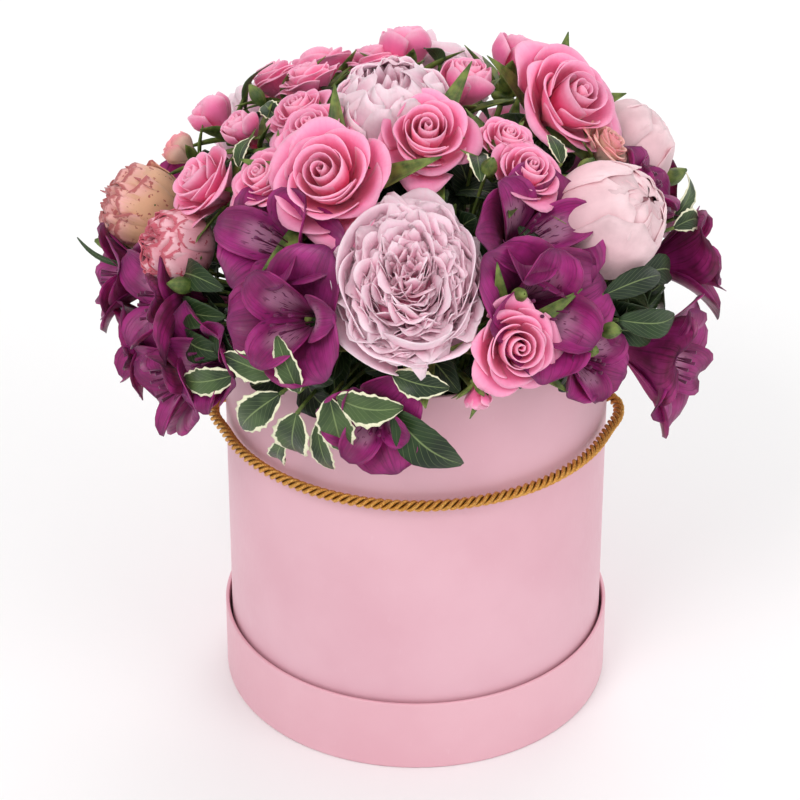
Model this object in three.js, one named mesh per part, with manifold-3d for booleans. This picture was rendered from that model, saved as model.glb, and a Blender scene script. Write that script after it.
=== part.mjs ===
// Round pink paperboard flower box standing in its own upturned lid, with a twisted
// rope handle and a domed arrangement of cut flowers in floral foam.
//
// Millimetres, +Z up, front of the box towards -Y. The origin is the centre of the
// lid's underside, which rests on the table.

import * as THREE from 'three';
import { mergeVertices } from 'three/addons/utils/BufferGeometryUtils.js';
import Module from 'manifold-3d';

const wasm = await Module();
wasm.setup();

// ---------------------------------------------------------------- driving dimensions
const GAP = 0.3;              // clearance kept between touching pieces
const SLIVER = 0.08;          // facets thinner than this are closed up after a cut
const WELD = 1e-4;            // points closer than this are one point
const BOX_R = 90;             // outer radius of the box wall
const WALL = 1.9;             // rolled board
const RIM_Z = 204.5;          // top edge of the box
const LID_R = 93.2;           // outer radius of the upturned lid
const LID_WALL = 1.8;
const LID_SKIRT = 37.5;
const LID_DISC = 2;
const BOTTOM = 2.5;           // thickness of the box's bottom board

const LINER_R = 73;           // waterproof film pot around the foam
const LINER_WALL = 1.2;
const LINER_TOP = 186;
const FOAM_R = 71;
const FOAM_TOP = 178;
const FLOOR_Z = LID_DISC + GAP;

const ROPE_D = 5.5;
const ROPE_Z = 151;           // height of the two handle holes
const HOLE_R = 4.8;
const HOLE_Y = -1.2;          // the rope leans forward as it leaves the hole
const KNOT_R = 5.6;
const KNOT_CLEAR = 2;         // room between a knot and the film pot
// A knot's outline as shares of [its radius, half its length].
const KNOT_OUTLINE = [[0, -1], [0.6, -0.9], [1, -0.35], [1, 0.35], [0.6, 0.9], [0, 1]];

// The dome that the flower heads lie on.
const DOME_R = 126;
const DOME_H = 102;
const DOME_Z = 205;
const SOCKET_DEPTH = 14;      // how far each stem is pushed into the foam
const SOCKET_R = 6.5;
const FOOT_SHARE = 0.4;       // a stem's foot lies at this share of its head's radius
const FOOT_MAX = 60;
const BRANCH_HEIGHT = 36;     // how far above the foam a stem starts to lean
const RIM_CLEAR = 10;         // a stem leans out over the rim no lower than this
const HEAD_APPROACH = 0.9;    // share of its head's diameter that a stem runs straight in
const PEONY_STEM_R = 2;
const BRANCH_R = 1.5;         // stems of roses and alstroemerias

const SPRIG_THICK = 3;
const SPRIG_STEM_R = 1.2;
const SPRIG_OVERLAP = 0.15;   // share of a sprig's length that its stem runs along
const SPRIG_APPROACH = 40;

// The space that the rope swings in, which the planting keeps out of.
const ROPE_SWING = [140, 172];
const ROPE_REACH = 99;

// Facets round each kind of piece, and steps along a curved one.
const WALL_SIDES = 64;
const BOARD_SIDES = 48;
const POT_SIDES = 40;
const HOLE_SIDES = 16;
const ROPE_SIDES = 8;
const ROPE_STEPS = 34;
const KNOT_SIDES = 10;
const STEM_SIDES = 4;
const STEM_STEPS = 4;
const SPRIG_SIDES = 8;
const SPRIG_ROWS = 5;
const SOCKET_SIDES = 6;

// Half of the rope's centre line, from the knot at +X round to the front.
const ROPE_HALF = [
  [81.6, 0, 151], [84.4, 0, 151], [88.2, -0.8, 151], [91.8, -3.2, 151],
  [94.2, -6.8, 150.9], [95.1, -11.8, 150.7], [94.2, -19.2, 150.5], [89.9, -29.2, 150.3],
  [81.8, -47.3, 150.1], [70.2, -63.2, 150], [55.5, -76.5, 150], [38.4, -86.3, 150],
  [19.6, -92.4, 150], [0, -94.5, 150],
];

// ---------------------------------------------------------------- what is planted
// A head is [azimuth, latitude, reach, diameter]: degrees round from the front towards
// +X, degrees up from the rim, and the distance out as a share of the dome.
const PEONIES = {
  peony_front_open: [[-2, 38, 0.97, 80]],
  peony_crown: [[-50, 83, 0.95, 56]],
  peony_right_bud: [[61, 40, 1, 54]],
  peony_right_back: [[111, 34, 1, 46]],
  peony_left_half_open: [[-98, 19, 1.08, 42]],
  peony_left_small: [[-72, 26, 1, 36]],
  peony_back_open: [[178, 34, 0.97, 76]],
  peony_back_left_bud: [[-141, 24, 1, 48]],
};


const ROSES = {
  rose_spray_left_back: [[-131, 49, 1.04, 25], [-128, 61, 1, 25]],
  rose_buds_left: [[-117, 38, 1.05, 24], [-90, 53, 1.02, 21]],
  rose_spray_left_centre: [[-86, 66, 1, 25], [-59, 66, 1, 33]],
  rose_spray_left_front: [[-77, 41, 1, 33], [-57, 52, 1, 28]],
  rose_open_left: [[-33, 58, 1.02, 46]],
  rose_crown_bud: [[-175, 60, 1.03, 28]],
  rose_crown_right: [[117, 79, 1, 27]],
  rose_upright: [[143, 55, 1.04, 31]],
  rose_open_right: [[102, 59, 1.03, 46]],
  rose_right_back: [[126, 45, 1.06, 27]],
  rose_centre: [[6, 74, 1, 38]],
  rose_spray_right_front: [[51, 67, 1, 22], [44, 58, 1, 28]],
  rose_low_front: [[20, 22, 1, 34]],
  rose_tiny_bud: [[12, 11, 0.99, 13]],
  rose_pale_bud: [[-108, 31, 1.05, 19]],
  rose_striped: [[90, 48, 1, 21]],
  rose_back_low: [[158, 10, 1, 34]],
  rose_back_left: [[-163, 58, 0.97, 30], [-150, 46, 1, 34]],
  rose_back_side: [[-172, 8, 1, 32]],
};

const ALSTROEMERIAS = {
  alstroemeria_left: [[-88, 6, 1.12, 44], [-70, 12, 1.02, 54]],
  alstroemeria_left_low: [[-80, -7, 1.06, 42], [-61, -5, 1.02, 50], [-50, 6, 0.98, 42]],
  alstroemeria_centre_left: [[-41, 42, 1.01, 50], [-29, 26, 1.02, 50]],
  alstroemeria_drooping: [[-9, 3, 0.97, 38]],
  alstroemeria_centre_right: [[35, 46, 1.01, 52], [29, 29, 1.02, 54]],
  alstroemeria_right: [[89, 34, 1.02, 36], [91, 10, 1.05, 48]],
  alstroemeria_right_low: [[67, -4, 1.02, 52], [38, 12, 1, 34]],
  alstroemeria_back_right: [[139, 10, 1.02, 50], [120, 12, 1.04, 48]],
  alstroemeria_back_left: [[-119, 3, 1.06, 50], [-139, -2, 1.02, 46]],
};

// A sprig's outer shape is [azimuth, latitude, reach] of its base, the same of its tip,
// and its width.
const SPRIGS = {
  pittosporum_front_left: [-36, 10, 0.98, -50, 0, 1.02, 26],
  pittosporum_front: [-23, 3, 0.97, -28, -20, 0.92, 30],
  pittosporum_front_right: [-15, 12, 1, -3, 13, 1.02, 22],
  leaf_front_dark: [-4, 6, 0.98, 9, -8, 1, 17],
  pittosporum_right: [86, 24, 1.03, 98, 24, 1.15, 16],
  leaf_right_upper: [44, 27, 1.04, 60, 24, 1.08, 13],
  leaf_right_lower: [46, 20, 1.03, 62, 13, 1.07, 14],
  leaf_left_blade: [-122, 43, 1.02, -124, 56, 1.16, 6],
  leaf_crown: [170, 60, 1, 176, 66, 1.08, 8],
  pittosporum_right_centre: [33, 68, 1, 25, 60, 1.04, 10],
  grass_blade: [-84, 12, 1.05, -90, 13, 1.29, 4],
  pittosporum_left_centre: [-95, 60, 1, -105, 57, 1.06, 9],
  pittosporum_back: [168, 0, 0.98, 172, -18, 0.95, 28],
  pittosporum_back_left: [-156, -2, 0.98, -154, -18, 0.95, 22],
};

// ---------------------------------------------------------------- materials
const material = (color, roughness, metalness = 0) =>
  new THREE.MeshStandardMaterial({ color, roughness, metalness });

const PINK_BOARD = material(0xe1afbb, 0.6);
const LID_BOARD = material(0xe7b4c0, 0.6);
const DARK_FILM = material(0x2a2226, 0.4);
const FOAM = material(0x3f5a3a, 0.95);
const GOLD_CORD = material(0xb58a3e, 0.45);
const PEONY_PINK = material(0xeab9d3, 0.7);
const ROSE_PINK = material(0xe8608f, 0.65);
const MAGENTA = material(0x7a1f66, 0.6);
const LEAF_GREEN = material(0x3c5a32, 0.6);

// ---------------------------------------------------------------- solids
function toSolid(geometry) {
  const bare = geometry.clone();
  bare.deleteAttribute('normal');
  bare.deleteAttribute('uv');
  const merged = mergeVertices(bare, WELD);
  const index = merged.index.array;
  return new wasm.Manifold(new wasm.Mesh({
    numProp: 3,
    vertProperties: new Float32Array(merged.attributes.position.array),
    triVerts: new Uint32Array(index),
  }));
}

function toGeometry(solid) {
  const mesh = solid.getMesh();
  const positions = new THREE.BufferAttribute(new Float32Array(mesh.vertProperties), 3);
  const geometry = new THREE.BufferGeometry();
  geometry.setAttribute('position', positions);
  geometry.setIndex(new THREE.BufferAttribute(new Uint32Array(mesh.triVerts), 1));
  geometry.computeVertexNormals();
  return geometry;
}

// Turns a [radius, height] outline about Z. The outline runs so that faces point out.
function turned(outline, sides) {
  const points = outline.map(([r, h]) => new THREE.Vector2(r, h));
  const geometry = new THREE.LatheGeometry(points, sides);
  geometry.rotateX(Math.PI / 2);
  return geometry;
}

const disc = (radius, low, high, sides) =>
  turned([[0, low], [radius, low], [radius, high], [0, high]], sides);

const ring = (inner, outer, low, high, sides) =>
  turned([[inner, low], [outer, low], [outer, high], [inner, high], [inner, low]], sides);

// A tube of round section along a curve.
function tube(curve, radius, sides, steps) {
  const section = new THREE.Shape();
  for (let i = 0; i < sides; i += 1) {
    const turn = (2 * Math.PI * i) / sides;
    const corner = [radius * Math.cos(turn), radius * Math.sin(turn)];
    if (i === 0) section.moveTo(...corner);
    else section.lineTo(...corner);
  }
  section.closePath();
  return new THREE.ExtrudeGeometry(section, { extrudePath: curve, steps, bevelEnabled: false });
}

// ---------------------------------------------------------------- flower heads
// Outlines [radius, height] for a head of diameter 1 whose middle is at height 0.
const HEADS = {
  peony: {
    outline: [
      [0, -0.4], [0.26, -0.34], [0.47, -0.12], [0.5, 0.08], [0.38, 0.3], [0.16, 0.4], [0, 0.41],
    ],
    sides: 9,
  },
  rose: {
    outline: [[0, -0.42], [0.16, -0.38], [0.38, -0.1], [0.5, 0.16], [0.34, 0.34], [0, 0.38]],
    sides: 7,
  },
  alstroemeria: {
    outline: [[0, -0.62], [0.09, -0.55], [0.2, -0.2], [0.5, 0.24], [0.3, 0.3], [0, 0.1]],
    sides: 6,
  },
};

const radians = THREE.MathUtils.degToRad;

function domePoint(azimuth, latitude, reach) {
  const az = radians(azimuth);
  const lat = radians(latitude);
  const out = DOME_R * reach * Math.cos(lat);
  return new THREE.Vector3(
    out * Math.sin(az), -out * Math.cos(az), DOME_Z + DOME_H * reach * Math.sin(lat));
}

// The way a head faces: out of the dome, so that the stem can follow it in.
function domeNormal(azimuth, latitude) {
  const az = radians(azimuth);
  const lat = radians(latitude);
  return new THREE.Vector3(
    Math.cos(lat) * Math.sin(az), -Math.cos(lat) * Math.cos(az), Math.sin(lat));
}

// The foot of a branched stem, in the foam under the middle of what it carries.
function footUnder(ends) {
  const middle = new THREE.Vector3();
  for (const end of ends) middle.add(end);
  middle.divideScalar(ends.length);
  const out = Math.max(Math.hypot(middle.x, middle.y), 1);
  const share = Math.min(FOOT_SHARE, FOOT_MAX / out);
  return new THREE.Vector3(middle.x * share, middle.y * share, FOAM_TOP - SOCKET_DEPTH);
}

// One branch, from the foot straight up out of the foam and then out to a point on the dome.
function stemCurve(foot, end, facing, approach) {
  const above = foot.clone().setZ(FOAM_TOP + BRANCH_HEIGHT);
  const before = end.clone().addScaledVector(facing, -approach);
  before.z = Math.max(before.z, RIM_Z + RIM_CLEAR);
  return new THREE.CubicBezierCurve3(foot, above, before, end);
}

const stemSolid = (curve, radius, grow) =>
  toSolid(tube(curve, radius + grow, STEM_SIDES, STEM_STEPS));

function headSolid(kind, [azimuth, latitude, reach, diameter], grow) {
  const { outline, sides } = HEADS[kind];
  const size = diameter + 2 * grow;
  const geometry = turned(outline.map(([r, h]) => [r * size, h * size]), sides);
  const facing = domeNormal(azimuth, latitude);
  const turn = new THREE.Quaternion().setFromUnitVectors(new THREE.Vector3(0, 0, 1), facing);
  const centre = domePoint(azimuth, latitude, reach);
  geometry.applyMatrix4(new THREE.Matrix4().compose(centre, turn, new THREE.Vector3(1, 1, 1)));
  return toSolid(geometry);
}

function flowerSolid(kind, heads, foot, stemRadius, grow) {
  const parts = heads.flatMap((head) => {
    const facing = domeNormal(head[0], head[1]);
    const curve = stemCurve(foot, domePoint(...head), facing, HEAD_APPROACH * head[3]);
    return [stemSolid(curve, stemRadius, grow), headSolid(kind, head, grow)];
  });
  return parts.reduce((whole, part) => whole.add(part));
}

// A sprig is a thin lens between its base and its tip, lying along the dome.
function lensSolid(base, tip, facing, width, grow) {
  const along = tip.clone().sub(base);
  const across = new THREE.Vector3().crossVectors(facing, along).normalize();
  const normal = new THREE.Vector3().crossVectors(along, across).normalize();
  const frame = new THREE.Matrix4().makeBasis(
    along.clone().setLength(along.length() / 2 + grow),
    across.multiplyScalar(width / 2 + grow),
    normal.multiplyScalar(SPRIG_THICK / 2 + grow));
  frame.setPosition(base.clone().add(tip).multiplyScalar(0.5));
  return toSolid(new THREE.SphereGeometry(1, SPRIG_SIDES, SPRIG_ROWS).applyMatrix4(frame));
}

function sprigSolid([az0, lat0, reach0, az1, lat1, reach1, width], foot, grow) {
  const base = domePoint(az0, lat0, reach0);
  const tip = domePoint(az1, lat1, reach1);
  const joint = base.clone().lerp(tip, SPRIG_OVERLAP);
  const stem = stemCurve(foot, joint, domeNormal(az0, Math.max(lat0, 0)), SPRIG_APPROACH);
  const lens = lensSolid(base, tip, domeNormal((az0 + az1) / 2, (lat0 + lat1) / 2), width, grow);
  return stemSolid(stem, SPRIG_STEM_R, grow).add(lens);
}

const largest = (solid) =>
  solid.decompose().reduce((best, piece) => (piece.volume() > best.volume() ? piece : best));

// ---------------------------------------------------------------- the box
const box = new THREE.Group();

function addMesh(name, geometry, finish) {
  const mesh = new THREE.Mesh(geometry, finish);
  mesh.name = name;
  box.add(mesh);
}

function addLid() {
  const inner = LID_R - LID_WALL;
  addMesh('lid_disc', disc(inner - GAP, 0, LID_DISC, BOARD_SIDES), LID_BOARD);
  addMesh('lid_skirt', ring(inner, LID_R, 0, LID_SKIRT, BOARD_SIDES), LID_BOARD);
}

function addBody() {
  const inner = BOX_R - WALL;
  const wall = toSolid(ring(inner, BOX_R, FLOOR_Z, RIM_Z, WALL_SIDES));
  const punch = new THREE.CylinderGeometry(HOLE_R, HOLE_R, 3 * BOX_R, HOLE_SIDES);
  punch.rotateZ(Math.PI / 2);
  punch.translate(0, HOLE_Y, ROPE_Z);
  addMesh('box_wall', toGeometry(wall.subtract(toSolid(punch))), PINK_BOARD);
  const bottom = disc(inner - GAP, FLOOR_Z, FLOOR_Z + BOTTOM, BOARD_SIDES);
  addMesh('box_bottom', bottom, PINK_BOARD);
}

function addHandle() {
  const right = ROPE_HALF.map((point) => new THREE.Vector3(...point));
  const left = right.slice(0, -1).reverse().map((p) => new THREE.Vector3(-p.x, p.y, p.z));
  const route = new THREE.CatmullRomCurve3([...right, ...left], false, 'centripetal');
  addMesh('handle_rope', tube(route, ROPE_D / 2, ROPE_SIDES, ROPE_STEPS), GOLD_CORD);
  const ropeEnd = ROPE_HALF[0][0] - GAP;
  const knotHalf = (ropeEnd - LINER_R - KNOT_CLEAR) / 2;
  const outline = KNOT_OUTLINE.map(([r, h]) => [r * KNOT_R, h * knotHalf]);
  for (const [name, side] of [['handle_knot_right', 1], ['handle_knot_left', -1]]) {
    const knot = turned(outline, KNOT_SIDES);
    knot.rotateY(Math.PI / 2);
    knot.translate(side * (ropeEnd - knotHalf), 0, ROPE_Z);
    addMesh(name, knot, GOLD_CORD);
  }
}

// ---------------------------------------------------------------- the arrangement
// The wall and the space that the rope swings in are kept clear of everything planted.
const wallInside = BOX_R - WALL - GAP;
const keepClear = [
  ring(wallInside, BOX_R + GAP, FLOOR_Z, RIM_Z + GAP, WALL_SIDES),
  ring(wallInside, ROPE_REACH, ...ROPE_SWING, WALL_SIDES),
];

const feet = [];              // every stem's foot, where the foam is pierced
const planted = keepClear.map(toSolid); // with their clearance, in the order of planting

// Plants one piece: build gives its solid, grown by a clearance, on a foot in the foam.
function plant(name, ends, build, finish) {
  const foot = footUnder(ends);
  feet.push(foot);
  let solid = build(foot, 0);
  for (const earlier of planted) {
    solid = solid.subtract(earlier);
  }
  planted.push(build(foot, GAP));
  addMesh(name, toGeometry(largest(solid.setTolerance(SLIVER))), finish);
}

function plantFlowers(kind, table, stemRadius, finish) {
  for (const [name, heads] of Object.entries(table)) {
    const ends = heads.map((head) => domePoint(...head));
    const build = (foot, grow) => flowerSolid(kind, heads, foot, stemRadius, grow);
    plant(name, ends, build, finish);
  }
}

function addPot(low) {
  const inner = LINER_R - LINER_WALL;
  const pot = turned([
    [0, low], [LINER_R, low], [LINER_R, LINER_TOP], [inner, LINER_TOP],
    [inner, low + LINER_WALL], [0, low + LINER_WALL],
  ], POT_SIDES);
  addMesh('liner_pot', pot, DARK_FILM);
}

function addFoam(low) {
  const foam = toSolid(disc(FOAM_R, low, FOAM_TOP, POT_SIDES));
  const sockets = feet.map((foot) => {
    const socket = disc(SOCKET_R, foot.z - GAP, FOAM_TOP + GAP, SOCKET_SIDES);
    return toSolid(socket.translate(foot.x, foot.y, 0));
  });
  const pierced = sockets.reduce((rest, socket) => rest.subtract(socket), foam);
  addMesh('floral_foam', toGeometry(pierced), FOAM);
}

function addArrangement() {
  const low = FLOOR_Z + BOTTOM + GAP;
  addPot(low);
  plantFlowers('peony', PEONIES, PEONY_STEM_R, PEONY_PINK);
  plantFlowers('rose', ROSES, BRANCH_R, ROSE_PINK);
  plantFlowers('alstroemeria', ALSTROEMERIAS, BRANCH_R, MAGENTA);
  for (const [name, sprig] of Object.entries(SPRIGS)) {
    const base = domePoint(sprig[0], sprig[1], sprig[2]);
    plant(name, [base], (foot, grow) => sprigSolid(sprig, foot, grow), LEAF_GREEN);
  }
  addFoam(low + LINER_WALL + GAP);
}

addLid();
addBody();
addHandle();
addArrangement();

export default box;
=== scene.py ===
"""Round pink flower box in its upturned lid, with a rope handle and a domed arrangement.

Lengths are millimetres in the part's own frame, and MM turns them into metres. Only the
camera, the lights, the floor and the materials' patterns are in metres.
"""

import math

import bpy
import numpy as np
from mathutils import Matrix, Vector


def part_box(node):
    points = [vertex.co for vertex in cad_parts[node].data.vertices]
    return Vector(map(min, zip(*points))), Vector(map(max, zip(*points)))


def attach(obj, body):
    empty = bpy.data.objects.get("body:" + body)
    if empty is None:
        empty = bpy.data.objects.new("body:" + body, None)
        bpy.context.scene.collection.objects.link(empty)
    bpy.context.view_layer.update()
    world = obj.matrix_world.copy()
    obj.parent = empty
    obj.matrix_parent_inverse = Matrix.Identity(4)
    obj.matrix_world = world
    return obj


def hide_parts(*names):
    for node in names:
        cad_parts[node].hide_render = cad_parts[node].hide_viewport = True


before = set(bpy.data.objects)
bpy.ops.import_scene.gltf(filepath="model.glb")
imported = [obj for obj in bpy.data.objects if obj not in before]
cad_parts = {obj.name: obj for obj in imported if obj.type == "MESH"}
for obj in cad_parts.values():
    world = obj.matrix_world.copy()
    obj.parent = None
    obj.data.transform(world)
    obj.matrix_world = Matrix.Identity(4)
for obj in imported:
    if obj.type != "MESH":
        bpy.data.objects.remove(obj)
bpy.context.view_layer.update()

MM = 0.001


# ---- sizes from the frame
def box_mm(node):
    """The node's lowest and highest corner."""
    low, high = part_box(node)
    return [value / MM for value in low], [value / MM for value in high]


BOX_R, _, RIM_Z = box_mm("box_wall")[1]
LID_R = box_mm("lid_skirt")[1][0]
POT_R = box_mm("liner_pot")[1][0]
POT_FLOOR_Z = box_mm("liner_pot")[0][2]
FOAM_Z = box_mm("floral_foam")[1][2]
WALL = 1.9
LID_WALL = 1.8

ROPE_D = 5.5
ROPE_Z = 151
HOLE_R = 4.8
HOLE_Y = -1.2
ROPE_HALF = [
    (81.6, 0, 151), (84.4, 0, 151), (88.2, -0.8, 151), (91.8, -3.2, 151),
    (94.2, -6.8, 150.9), (95.1, -11.8, 150.7), (94.2, -19.2, 150.5), (89.9, -29.2, 150.3),
    (81.8, -47.3, 150.1), (70.2, -63.2, 150), (55.5, -76.5, 150), (38.4, -86.3, 150),
    (19.6, -92.4, 150), (0, -94.5, 150),
]

# The dome that the flower heads lie on, and where their stems stand in the foam.
DOME_R = 126
DOME_H = 102
DOME_Z = 205
FOOT_SHARE = 0.4
FOOT_MAX = 60
SOCKET_DEPTH = 14
BRANCH_HEIGHT = 36
STEM_LIFT = 10                # a stem passes at least this far above the rim
PEONY_STEM_R = 2.2
BLOOM_STEM_R = 1.4
LEAF_STALK_R = 0.9
BUD_STALK_R = 0.8

# A head is (azimuth, latitude, reach, diameter), as in the CAD model.
PEONIES = {
    "peony_front_open": ("open", (-2, 38, 0.97, 80)),
    "peony_crown": ("half", (-50, 83, 0.95, 56)),
    "peony_right_bud": ("bud", (61, 40, 1, 54)),
    "peony_right_back": ("bud", (111, 34, 1, 46)),
    "peony_left_half_open": ("tea", (-98, 19, 1.08, 42)),
    "peony_left_small": ("speckled", (-72, 26, 1, 36)),
    "peony_back_open": ("open", (178, 34, 0.97, 76)),
    "peony_back_left_bud": ("half", (-141, 24, 1, 48)),
}

# How far a head looks up from the dome's normal, and its stretch along its own axes.
PEONY_LEANS = {
    "peony_front_open": (16, (0.95, 1.16, 1.0)),
}

ROSES = {
    "rose_spray_left_back": [(-131, 49, 1.04, 25), (-128, 61, 1, 25)],
    "rose_buds_left": [(-117, 38, 1.05, 24), (-90, 53, 1.02, 21)],
    "rose_spray_left_centre": [(-86, 66, 1, 25), (-59, 66, 1, 33)],
    "rose_spray_left_front": [(-77, 41, 1, 33), (-57, 52, 1, 28)],
    "rose_open_left": [(-33, 58, 1.02, 46)],
    "rose_crown_bud": [(-175, 60, 1.03, 28)],
    "rose_crown_right": [(117, 79, 1, 27)],
    "rose_upright": [(143, 55, 1.04, 31)],
    "rose_open_right": [(102, 59, 1.03, 46)],
    "rose_right_back": [(126, 45, 1.06, 27)],
    "rose_centre": [(6, 74, 1, 38)],
    "rose_spray_right_front": [(51, 67, 1, 22), (44, 58, 1, 28)],
    "rose_low_front": [(20, 22, 1, 34)],
    "rose_tiny_bud": [(12, 11, 0.99, 13)],
    "rose_pale_bud": [(-108, 31, 1.05, 19)],
    "rose_striped": [(90, 48, 1, 21)],
    "rose_back_low": [(158, 10, 1, 34)],
    "rose_back_left": [(-163, 58, 0.97, 30), (-150, 46, 1, 34)],
    "rose_back_side": [(-172, 8, 1, 32)],
}
ROSE_BUDS = {
    "rose_buds_left", "rose_crown_bud", "rose_tiny_bud", "rose_pale_bud", "rose_upright",
    "rose_crown_right",
}
# Azimuth and latitude that a rose looks towards, where that isn't the dome's normal.
ROSE_FACINGS = {
    "rose_tiny_bud": (12, -59),
    "rose_open_right": (52, 46),
    "rose_centre": (4, 54),
    "rose_open_left": (-24, 48),
}
PALE_ROSES = {"rose_pale_bud", "rose_striped"}

ALSTROEMERIAS = {
    "alstroemeria_left": [(-88, 6, 1.12, 44), (-70, 12, 1.02, 54)],
    "alstroemeria_left_low": [(-80, -7, 1.06, 42), (-61, -5, 1.02, 50), (-50, 6, 0.98, 42)],
    "alstroemeria_centre_left": [(-41, 42, 1.01, 50), (-29, 26, 1.02, 50)],
    "alstroemeria_drooping": [(-9, 3, 0.97, 38)],
    "alstroemeria_centre_right": [(35, 46, 1.01, 52), (29, 29, 1.02, 54)],
    "alstroemeria_right": [(89, 34, 1.02, 36), (91, 10, 1.05, 48)],
    "alstroemeria_right_low": [(67, -4, 1.02, 52), (38, 12, 1, 34)],
    "alstroemeria_back_right": [(139, 10, 1.02, 50), (120, 12, 1.04, 48)],
    "alstroemeria_back_left": [(-119, 3, 1.06, 50), (-139, -2, 1.02, 46)],
}

# Each sprig's leaves: (azimuth, latitude, reach) of base and of tip, then the width.
SPRIGS = {
    "pittosporum_front_left": ("variegated", [
        (-40, 8, 0.99, -54, 0, 1.03, 13), (-29, 7, 0.99, -39, -7, 1, 16),
        (-30, 12, 1.01, -42, 13, 1.04, 13), (-24, 10, 1.02, -30, 22, 1.05, 12),
    ]),
    "pittosporum_front": ("variegated", [
        (-25, 3, 0.99, -28, -14, 0.94, 18), (-21, 0, 0.97, -20, -19, 0.93, 10),
        (-30, -9, 0.95, -36, -25, 0.9, 9), (-18, 9, 0.99, -16, -8, 0.96, 17),
    ]),
    "pittosporum_front_right": ("variegated", [
        (-16, 10, 1.01, -3, 9, 1.02, 16), (-5, 17, 1.01, 6, 14, 1.03, 13),
    ]),
    "leaf_front_dark": ("plain", [(-5, 7, 0.98, 9, -9, 1, 19)]),
    "pittosporum_right": ("variegated", [
        (88, 24, 1.02, 101, 26, 1.14, 10), (82, 25, 1.03, 92, 19, 1.1, 10),
    ]),
    "leaf_right_upper": ("plain", [(44, 27, 1.04, 61, 24, 1.08, 12)]),
    "leaf_right_lower": ("plain", [(46, 20, 1.03, 62, 13, 1.07, 13)]),
    "leaf_left_blade": ("plain", [(-122, 43, 1.02, -124, 56, 1.16, 7)]),
    "leaf_crown": ("plain", [(170, 60, 1, 176, 66, 1.08, 9)]),
    "pittosporum_right_centre": ("variegated", [
        (33, 68, 1, 25, 60, 1.04, 10), (62, 56, 1.02, 70, 62, 1.05, 9),
    ]),
    "grass_blade": ("plain", [(-84, 12, 1.05, -90, 13, 1.28, 3)]),
    "pittosporum_left_centre": ("variegated", [
        (-95, 60, 1, -105, 57, 1.05, 9), (-72, 50, 1.03, -80, 56, 1.06, 9),
    ]),
    "pittosporum_back": ("variegated", [
        (168, 4, 0.99, 166, -14, 0.96, 18), (176, 0, 0.98, -178, -17, 0.95, 15),
    ]),
    "pittosporum_back_left": ("variegated", [
        (-156, 2, 0.99, -157, -16, 0.96, 18), (-148, 0, 0.98, -144, -14, 0.97, 13),
    ]),
}

# The first seed of each kind; a spray's heads are SPRAY_SEEDS apart from the next spray's.
SEEDS = {
    "pot": 5, "inner_foliage": 9, "gap_leaves": 21, "peony": 40, "rose": 100,
    "alstroemeria": 300, "sprig": 500, "green_bud": 700,
}
SPRAY_SEEDS = 10


# ---- mesh building
def link(obj):
    bpy.context.scene.collection.objects.link(obj)
    return obj


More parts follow.
